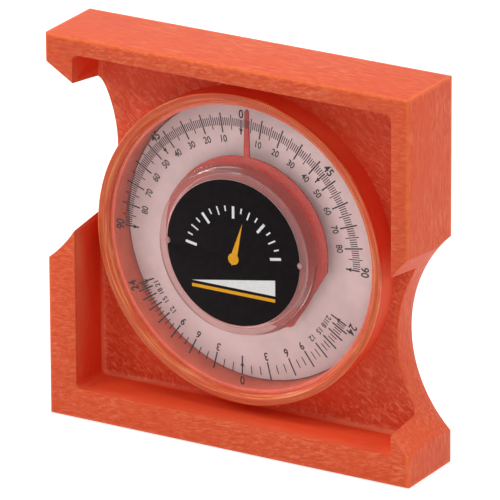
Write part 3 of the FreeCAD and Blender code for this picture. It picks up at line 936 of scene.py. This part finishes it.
pitchScale = {
    **degreeScale,
    "Steps": 24,
    "Run": 12.0,
    "Middle Every": 3,
    "Long Every": 3,
    "Arrow Every": 24,
    "Short From": 38.7 * mm,
    "Short To": 41.6 * mm,
    "Long From": 37.4 * mm,
    "Long To": 43.3 * mm,
    "Arrow From": 35.8 * mm,
    "Arrow To": 41.9 * mm,
}

# the fan of ticks on the label
labelScale = {
    **degreeScale,
    "Steps": 8,
    "Spacing": 10.0,
    "Middle Every": 2,
    "Long Every": 4,
    "Arrow Every": 8,
    "Short From": 15.6 * mm,
    "Short To": 17.4 * mm,
    "Middle From": 14.6 * mm,
    "Middle To": 17.4 * mm,
    "Long From": 13.4 * mm,
    "Long To": 17.4 * mm,
    "Arrow From": 13.4 * mm,
    "Arrow To": 17.4 * mm,
    "Fine": 0.5 * mm,
    "Bold": 0.9 * mm,
    "Depth": 0.03 * mm,
}


def newTree(name, sockets):
    tree = bpy.data.node_groups.new(name, "GeometryNodeTree")
    tree.interface.new_socket("Geometry", in_out="OUTPUT", socket_type="NodeSocketGeometry")
    for title, kind in sockets:
        tree.interface.new_socket(title, in_out="INPUT", socket_type=kind)
    return tree, tree.nodes.new("NodeGroupInput").outputs, tree.nodes.new("NodeGroupOutput").inputs


# true where the whole number value is a multiple of every
def isMultiple(tree, value, every):
    return mathNode(tree, "LESS_THAN", mathNode(tree, "FLOORED_MODULO", value, every), 0.5)


def pick(tree, flag, whenFalse, whenTrue):
    node = tree.nodes.new("GeometryNodeSwitch")
    node.input_type = "FLOAT"
    for socket, value in zip(node.inputs[:3], (flag, whenFalse, whenTrue)):
        tree.links.new(value, socket)
    return node.outputs[0]


# points on a circle about Y, with the turn that stands an upright shape along its radius
def ringPoints(tree, count, angle, radius):
    across = mathNode(tree, "MULTIPLY", mathNode(tree, "SINE", angle), radius)
    up = mathNode(tree, "MULTIPLY", mathNode(tree, "COSINE", angle), radius)
    position = addNode(tree, "ShaderNodeCombineXYZ", X=across, Z=up)
    turn = addNode(tree, "ShaderNodeCombineXYZ", Y=angle)
    points = addNode(tree, "GeometryNodePoints", Count=count, Position=position.outputs[0])
    return points.outputs[0], turn.outputs[0]


# a block of this size on every point, made real and painted
def closeTree(tree, give, points, turn, scale, material):
    block = addNode(tree, "GeometryNodeMeshCube", Size=(1, 1, 1))
    copies = addNode(
        tree, "GeometryNodeInstanceOnPoints",
        Points=points, Instance=block.outputs["Mesh"], Rotation=turn, Scale=scale,
    )
    real = addNode(tree, "GeometryNodeRealizeInstances", Geometry=copies.outputs[0])
    painted = addNode(tree, "GeometryNodeSetMaterial", Geometry=real.outputs[0], Material=material)
    tree.links.new(painted.outputs[0], give["Geometry"])


# ticks about a middle one: even where Run is zero, else at the slopes of 1, 2, 3... over Run
def buildTickTree():
    floats = [name for name in degreeScale if name != "Steps"]
    sockets = [("Steps", "NodeSocketInt"), *((name, "NodeSocketFloat") for name in floats)]
    tree, take, give = newTree("scaleTicks", [*sockets, ("Ink", "NodeSocketMaterial")])
    index = tree.nodes.new("GeometryNodeInputIndex").outputs[0]
    number = mathNode(tree, "SUBTRACT", index, take["Steps"])
    count = mathNode(tree, "ADD", mathNode(tree, "MULTIPLY", take["Steps"], 2.0), 1.0)
    even = mathNode(tree, "RADIANS", mathNode(tree, "MULTIPLY", number, take["Spacing"]))
    slope = mathNode(tree, "SUBTRACT", math.pi, mathNode(tree, "ARCTAN2", number, take["Run"]))
    hasRun = mathNode(tree, "GREATER_THAN", take["Run"], 0.0)
    angle = pick(tree, hasRun, even, slope)
    isMiddle, isLong, isArrow = (
        isMultiple(tree, number, take[f"{size} Every"]) for size in ("Middle", "Long", "Arrow")
    )
    ends = {}
    for end in ("From", "To"):
        reach = pick(tree, isMiddle, take[f"Short {end}"], take[f"Middle {end}"])
        reach = pick(tree, isLong, reach, take[f"Long {end}"])
        ends[end] = pick(tree, isArrow, reach, take[f"Arrow {end}"])
    width = pick(tree, isLong, take["Fine"], take["Bold"])
    width = pick(tree, isArrow, width, take["Bold"])
    middle = mathNode(tree, "MULTIPLY", mathNode(tree, "ADD", ends["From"], ends["To"]), 0.5)
    length = mathNode(tree, "SUBTRACT", ends["To"], ends["From"])
    points, turn = ringPoints(tree, count, angle, middle)
    scale = addNode(tree, "ShaderNodeCombineXYZ", X=width, Y=take["Depth"], Z=length)
    closeTree(tree, give, points, turn, scale.outputs[0], take["Ink"])
    return tree


# equal teeth all round a circle
def buildToothTree():
    tree, take, give = newTree("rimTeeth", [
        ("Count", "NodeSocketInt"),
        *((name, "NodeSocketFloat") for name in ("Radius", "Length", "Width", "Depth")),
        ("Plastic", "NodeSocketMaterial"),
    ])
    index = tree.nodes.new("GeometryNodeInputIndex").outputs[0]
    angle = mathNode(tree, "DIVIDE", mathNode(tree, "MULTIPLY", index, math.tau), take["Count"])
    points, turn = ringPoints(tree, take["Count"], angle, take["Radius"])
    scale = addNode(tree, "ShaderNodeCombineXYZ", X=take["Width"], Y=take["Depth"], Z=take["Length"])
    closeTree(tree, give, points, turn, scale.outputs[0], take["Plastic"])
    return tree


# a piece made by a tree with these input values, standing at this place
def grown(name, tree, values, place):
    piece = linked(name, bpy.data.meshes.new(name))
    modifier = piece.modifiers.new("grown", "NODES")
    modifier.node_group = tree
    for item in tree.interface.items_tree:
        if item.item_type == "SOCKET" and item.in_out == "INPUT":
            modifier[item.identifier] = values[item.name]
    applied(piece)
    piece.data.transform(place)
    return piece


tickTree = buildTickTree()
toothTree = buildToothTree()

scaleHeight = windowBack - cover["inkDrop"]
for name, values in (("degreeTicks", degreeScale), ("pitchTicks", pitchScale)):
    ticks = grown(name, tickTree, {**values, "Ink": finish["printBlack"]}, dialPlace(scaleHeight))
    finished(ticks, "housing")
toothHeight = rimHeight + toothRing["Proud"] - toothRing["Depth"] / 2
toothValues = {**toothRing, "Plastic": finish["toothFrost"]}
rimTeeth = grown("rimTeeth", toothTree, toothValues, dialPlace(toothHeight))
finished(rimTeeth, "housing")
print("scales drawn")

# numerals and arrow heads
numerals = {
    "depth": 0.04 * mm,
    "narrow": 0.86,
    "weight": 0.018,
    "curveSteps": 4,
    "innerRadius": 35.6 * mm,
    "outerRadius": 44.1 * mm,
    "arrowRadius": 38.6 * mm,
    "arrowWidth": 1.6 * mm,
    "arrowLength": 1.6 * mm,
    "tens": 2.3 * mm,
    "rises": 2.7 * mm,
    "steepRises": 1.95 * mm,
    "ends": 2.95 * mm,
    "steepFrom": 12,
}


# gives flat faces a thickness
def raiseFaces(build, step):
    raised = bmesh.ops.extrude_face_region(build, geom=build.faces[:])["geom"]
    moved = [item for item in raised if isinstance(item, bmesh.types.BMVert)]
    bmesh.ops.translate(build, verts=moved, vec=step)
    bmesh.ops.recalc_face_normals(build, faces=build.faces)


# thin text standing in XZ, facing the reader, with its middle at the origin
def textBuild(words, height, look):
    curve = bpy.data.curves.new("numeral", "FONT")
    curve.body = words
    curve.align_x = "CENTER"
    curve.align_y = "CENTER"
    curve.resolution_u = look["curveSteps"]
    curve.offset = look["weight"]
    holder = linked("numeral", curve)
    bpy.context.view_layer.update()
    mesh = bpy.data.meshes.new_from_object(holder.evaluated_get(bpy.context.evaluated_depsgraph_get()))
    bpy.data.objects.remove(holder)
    build = bmesh.new()
    build.from_mesh(mesh)
    bpy.data.meshes.remove(mesh)
    across = [vert.co.x for vert in build.verts]
    up = [vert.co.y for vert in build.verts]
    scale = height / (max(up) - min(up))
    middle = Vector(((min(across) + max(across)) / 2, (min(up) + max(up)) / 2, 0))
    bmesh.ops.translate(build, verts=build.verts, vec=-middle)
    bmesh.ops.scale(build, verts=build.verts, vec=(scale * look["narrow"], scale, 1))
    raiseFaces(build, (0, 0, look["depth"]))
    build.transform(Matrix.Rotation(math.pi / 2, 4, "X"))
    return build


# a flat shape in XZ from its corners, given a thickness towards the reader
def flatBuild(corners, depth):
    build = bmesh.new()
    build.faces.new([build.verts.new((across, 0, up)) for across, up in corners])
    raiseFaces(build, (0, -depth, 0))
    return build


# a small arrow head that points towards the dial's middle
def arrowBuild(width, length, depth):
    corners = [(0, -length / 2), (width / 2, length / 2), (0, length / 4), (-width / 2, length / 2)]
    return flatBuild(corners, depth)


# the place on the dial at this angle and radius, turned so that up points outwards
def onDial(angle, radius):
    return Matrix.Rotation(angle, 4, "Y") @ Matrix.Translation((0, 0, radius))


def pitchAngle(rise):
    return math.pi - math.atan2(rise, pitchScale["Run"])


# every numeral as (words, angle, radius, height), and the angle of every arrow
def scaleMarks(look):
    inner, outer = look["innerRadius"], look["outerRadius"]
    marks, arrows = [], [0, math.pi]
    for side in (-1, 1):
        for tens in range(10, 90, 10):
            marks.append((str(tens), side * math.radians(tens), inner, look["tens"]))
        for rise in range(3, 24, 3):
            tall = look["rises"] if rise < look["steepFrom"] else look["steepRises"]
            marks.append((str(rise), pitchAngle(side * rise), inner, tall))
        for words, angle in (("45", math.radians(45)), ("90", math.radians(90)), ("24", pitchAngle(24))):
            marks.append((words, side * angle, outer, look["ends"]))
            arrows.append(side * angle)
    for angle in (0, math.pi):
        marks.append(("0", angle, outer, look["ends"]))
    return marks, arrows


figures = bmesh.new()
marks, arrows = scaleMarks(numerals)
for words, angle, radius, height in marks:
    addBuild(figures, textBuild(words, height, numerals), onDial(angle, radius))
for angle in arrows:
    head = arrowBuild(numerals["arrowWidth"], numerals["arrowLength"], numerals["depth"])
    addBuild(figures, head, onDial(angle, numerals["arrowRadius"]))
figures.transform(dialPlace(scaleHeight - numerals["depth"] / 2))
scaleFigures = linked("scaleFigures", meshFrom(figures, "scaleFigures"))
finished(scaleFigures, "housing", [finish["printBlack"]])
print("numerals set")

# disc and label, the label black only where it faces the reader
sheets = {"discEdge": 0.03 * mm, "labelEdge": 0.04 * mm, "frontFacing": -0.9}

discSheet = cleanCopy("background_disc", "discSheet", sheets["discEdge"])
finished(discSheet, "housing", [finish["discPaintedPink"]], ["background_disc"])

labelFilm = cleanCopy("hub_label", "labelFilm", sheets["labelEdge"])
finished(labelFilm, "housing", [finish["labelPaper"], finish["labelBlack"]], ["hub_label"])
for polygon in labelFilm.data.polygons:
    polygon.material_index = int(polygon.normal.y < sheets["frontFacing"])

# printed on the label: a fan of ticks over an amber needle, and a white wedge on its ground line
labelPrint = {
    "fanDrop": 2.0 * mm,
    "needleLength": 12.6 * mm,
    "needleWidth": 2.4 * mm,
    "needleLean": 15.0,
    "pivot": 1.9 * mm,
    "pivotSteps": 24,
    "wedgeHalf": 15.0 * mm,
    "wedgeRise": 5.2 * mm,
    "wedgeFoot": -11.6 * mm,
    "lineHeight": 1.1 * mm,
    "lineGap": 1.0 * mm,
}


def makeLabelPrint(size):
    depth = labelScale["Depth"]
    front = dialPlace(cover["bossTop"])
    fanMiddle = front @ Matrix.Translation((0, -depth / 2, -size["fanDrop"]))
    fan = grown("labelTicks", tickTree, {**labelScale, "Ink": finish["printWhite"]}, fanMiddle)
    finished(fan, "housing")

    amber = bmesh.new()
    half = size["needleWidth"] / 2
    needle = flatBuild([(half, 0), (0, size["needleLength"]), (-half, 0), (0, -size["needleWidth"])], depth)
    pivotMiddle = front @ Matrix.Translation((0, 0, -size["fanDrop"]))
    addBuild(amber, needle, pivotMiddle @ Matrix.Rotation(math.radians(size["needleLean"]), 4, "Y"))
    turns = [math.tau * step / size["pivotSteps"] for step in range(size["pivotSteps"])]
    circle = [(size["pivot"] * math.sin(turn), size["pivot"] * math.cos(turn)) for turn in turns]
    addBuild(amber, flatBuild(circle, 2 * depth), pivotMiddle)
    line = size["wedgeFoot"] - size["lineGap"]
    ground = flatBuild([
        (size["wedgeHalf"], line), (-size["wedgeHalf"], line),
        (-size["wedgeHalf"], line - size["lineHeight"]), (size["wedgeHalf"], line - size["lineHeight"]),
    ], depth)
    addBuild(amber, ground, front)
    needlePrint = linked("labelNeedle", meshFrom(amber, "labelNeedle"))
    finished(needlePrint, "housing", [finish["printAmber"]])

    white = flatBuild([
        (size["wedgeHalf"], size["wedgeFoot"]), (size["wedgeHalf"], size["wedgeFoot"] + size["wedgeRise"]),
        (-size["wedgeHalf"], size["wedgeFoot"]),
    ], depth)
    white.transform(front)
    wedge = linked("labelWedge", meshFrom(white, "labelWedge"))
    finished(wedge, "housing", [finish["printWhite"]])


makeLabelPrint(labelPrint)
print("label printed")

# movement: each node's finish, slot and body, and the round on its edges
movement = {
    "pointer": ("pointerRed", "red_plastic", "pendulum", 0.12 * mm),
    "pointer_hub": ("brass", "brass", "pendulum", 0.08 * mm),
    "front_bearing": ("brass", "brass", "housing", 0.08 * mm),
    "rear_bearing": ("brass", "brass", "housing", 0.08 * mm),
    "axle": ("steel", "steel", "pendulum", 0.08 * mm),
    "counterweight": ("redLacquer", "red_lacquer", "pendulum", 0.25 * mm),
    "weight_rivets": ("redLacquer", "red_lacquer", "pendulum", 0.05 * mm),
    "front_thrust_washer": ("steel", "steel", "pendulum", 0.05 * mm),
    "rear_thrust_washer": ("steel", "steel", "pendulum", 0.05 * mm),
}
for node, (finishName, slotName, body, edge) in movement.items():
    piece = cleanCopy(node, node + "Dressed", edge)
    finished(piece, body, [finish[finishName]], [node])
print("movement dressed")

# capsule screws: washer-headed, with a crossed recess
screw = {
    "across": 30.0 * mm,
    "shank": 1.45 * mm,
    "shankLength": 2.6 * mm,
    "headRadius": 4.6 * mm,
    "headHeight": 1.9 * mm,
    "flangeHeight": 0.5 * mm,
    "domeRadius": 3.2 * mm,
    "recessLength": 3.6 * mm,
    "recessWidth": 0.75 * mm,
    "recessDepth": 1.1 * mm,
    "recessTurn": 0.4,  # radians
    "domeSteps": 6,
    "steps": 48,
}


def makeScrews(size):
    quarter = [math.pi / 2 * step / size["domeSteps"] for step in range(size["domeSteps"] + 1)]
    rise = size["headHeight"] - size["flangeHeight"]
    dome = [
        (size["domeRadius"] * math.cos(turn), size["flangeHeight"] + rise * math.sin(turn))
        for turn in quarter
    ]
    outline = [
        (0, -size["shankLength"]),
        (size["shank"], -size["shankLength"]),
        (size["shank"], 0),
        (size["headRadius"], 0),
        (size["headRadius"], size["flangeHeight"]),
        *dome[:-1],
        (0, size["headHeight"]),
    ]
    backwards = Matrix.Rotation(math.pi, 4, "Z")
    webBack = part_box("capsule_screws")[1].y - size["headHeight"]
    build = bmesh.new()
    recess = bmesh.new()
    for side in (-1, 1):
        place = Matrix.Translation((side * size["across"], webBack, dialCentre.z))
        addBuild(build, turnedBuild(outline, size["steps"]), place @ backwards)
        for turn in (side * size["recessTurn"], side * size["recessTurn"] + math.pi / 2):
            bar = bmesh.new()
            bmesh.ops.create_cube(bar, size=1.0)
            scale = Matrix.Diagonal((size["recessLength"], 2 * size["recessDepth"], size["recessWidth"], 1))
            lift = Matrix.Translation((0, size["headHeight"], 0))
            addBuild(recess, bar, place @ lift @ Matrix.Rotation(turn, 4, "Y") @ scale)
    piece = linked("screwHeads", meshFrom(build, "screwHeads"))
    cutter = linked("recessCutter", meshFrom(recess, "recessCutter"))
    cut = piece.modifiers.new("recess", "BOOLEAN")
    cut.operation = "DIFFERENCE"
    cut.solver = "EXACT"
    cut.use_self = True
    cut.object = cutter
    applied(piece)
    bpy.data.objects.remove(cutter)
    return smoothed(piece, degrees=40)


finished(makeScrews(screw), "housing", [finish["zinc"]], ["capsule_screws"])
print("screws set")

# studio: a pale floor under a white surround, and soft lamps
studio = {
    "floor": (0.80, 0.80, 0.80, 1),
    "floorSize": 12.0,
    "floorGlow": 0.55,
    "floorRoughness": 0.9,
    "floorGloss": 0.1,
    "surround": 0.33,
    "lamps": {
        "key": {"azimuth": -35.0, "elevation": 40.0, "distance": 1.5, "size": 0.35, "level": 0.12},
        "right": {"azimuth": 100.0, "elevation": 25.0, "distance": 1.5, "size": 0.5, "level": 0.2},
        "above": {"azimuth": 10.0, "elevation": 82.0, "distance": 1.5, "size": 0.7, "level": 0.31},
        "behind": {"azimuth": 180.0, "elevation": 62.0, "distance": 1.5, "size": 0.7, "level": 0.14},
        "left": {"azimuth": -75.0, "elevation": 25.0, "distance": 1.5, "size": 0.5, "level": 0.26},
        "front": {"azimuth": 28.0, "elevation": 15.0, "distance": 2.0, "size": 1.0, "level": 0.07},
    },
}


# plain white to the camera and in gloss and glass
def seenWhite(tree):
    path = tree.nodes.new("ShaderNodeLightPath")
    seen = mathNode(tree, "MAXIMUM", path.outputs["Is Camera Ray"], path.outputs["Is Glossy Ray"])
    return mathNode(tree, "MAXIMUM", seen, path.outputs["Is Transmission Ray"])


def makeFloor(setup):
    material, tree, shader = newMaterial("paleFloor")
    shader.inputs["Base Color"].default_value = setup["floor"]
    shader.inputs["Roughness"].default_value = setup["floorRoughness"]
    shader.inputs["Specular IOR Level"].default_value = setup["floorGloss"]
    strength = mathNode(tree, "MULTIPLY", seenWhite(tree), setup["floorGlow"])
    glow = addNode(tree, "ShaderNodeEmission", Strength=strength)
    both = tree.nodes.new("ShaderNodeAddShader")
    tree.links.new(shader.outputs[0], both.inputs[0])
    tree.links.new(glow.outputs[0], both.inputs[1])
    tree.links.new(both.outputs[0], tree.nodes["Material Output"].inputs["Surface"])
    build = bmesh.new()
    bmesh.ops.create_grid(build, x_segments=1, y_segments=1, size=setup["floorSize"] / 2)
    floor = linked("floor", meshFrom(build, "floor"))
    floor.data.materials.append(material)


def makeWorld(setup):
    world = bpy.data.worlds.new("surround")
    bpy.context.scene.world = world
    world.use_nodes = True
    tree = world.node_tree
    background = tree.nodes["Background"]
    background.inputs["Color"].default_value = (1, 1, 1, 1)
    tree.links.new(mixFloat(tree, seenWhite(tree), setup["surround"], 1.0), background.inputs["Strength"])


# each lamp is aimed at the dial, and its level is the light it throws on a face turned to it
def makeLamps(setup):
    for name, lamp in setup["lamps"].items():
        azimuth, elevation = math.radians(lamp["azimuth"]), math.radians(lamp["elevation"])
        away = Vector((math.sin(azimuth) * math.cos(elevation), -math.cos(azimuth) * math.cos(elevation),
                       math.sin(elevation)))
        data = bpy.data.lights.new(name, "AREA")
        data.shape = "DISK"
        data.size = lamp["size"]
        data.energy = lamp["level"] * (math.pi * lamp["distance"]) ** 2
        light = bpy.data.objects.new(name, data)
        light.location = dialCentre + away * lamp["distance"]
        light.rotation_euler = away.to_track_quat("Z", "Y").to_euler()
        bpy.context.scene.collection.objects.link(light)


makeFloor(studio)
makeWorld(studio)
makeLamps(studio)
print("studio set")
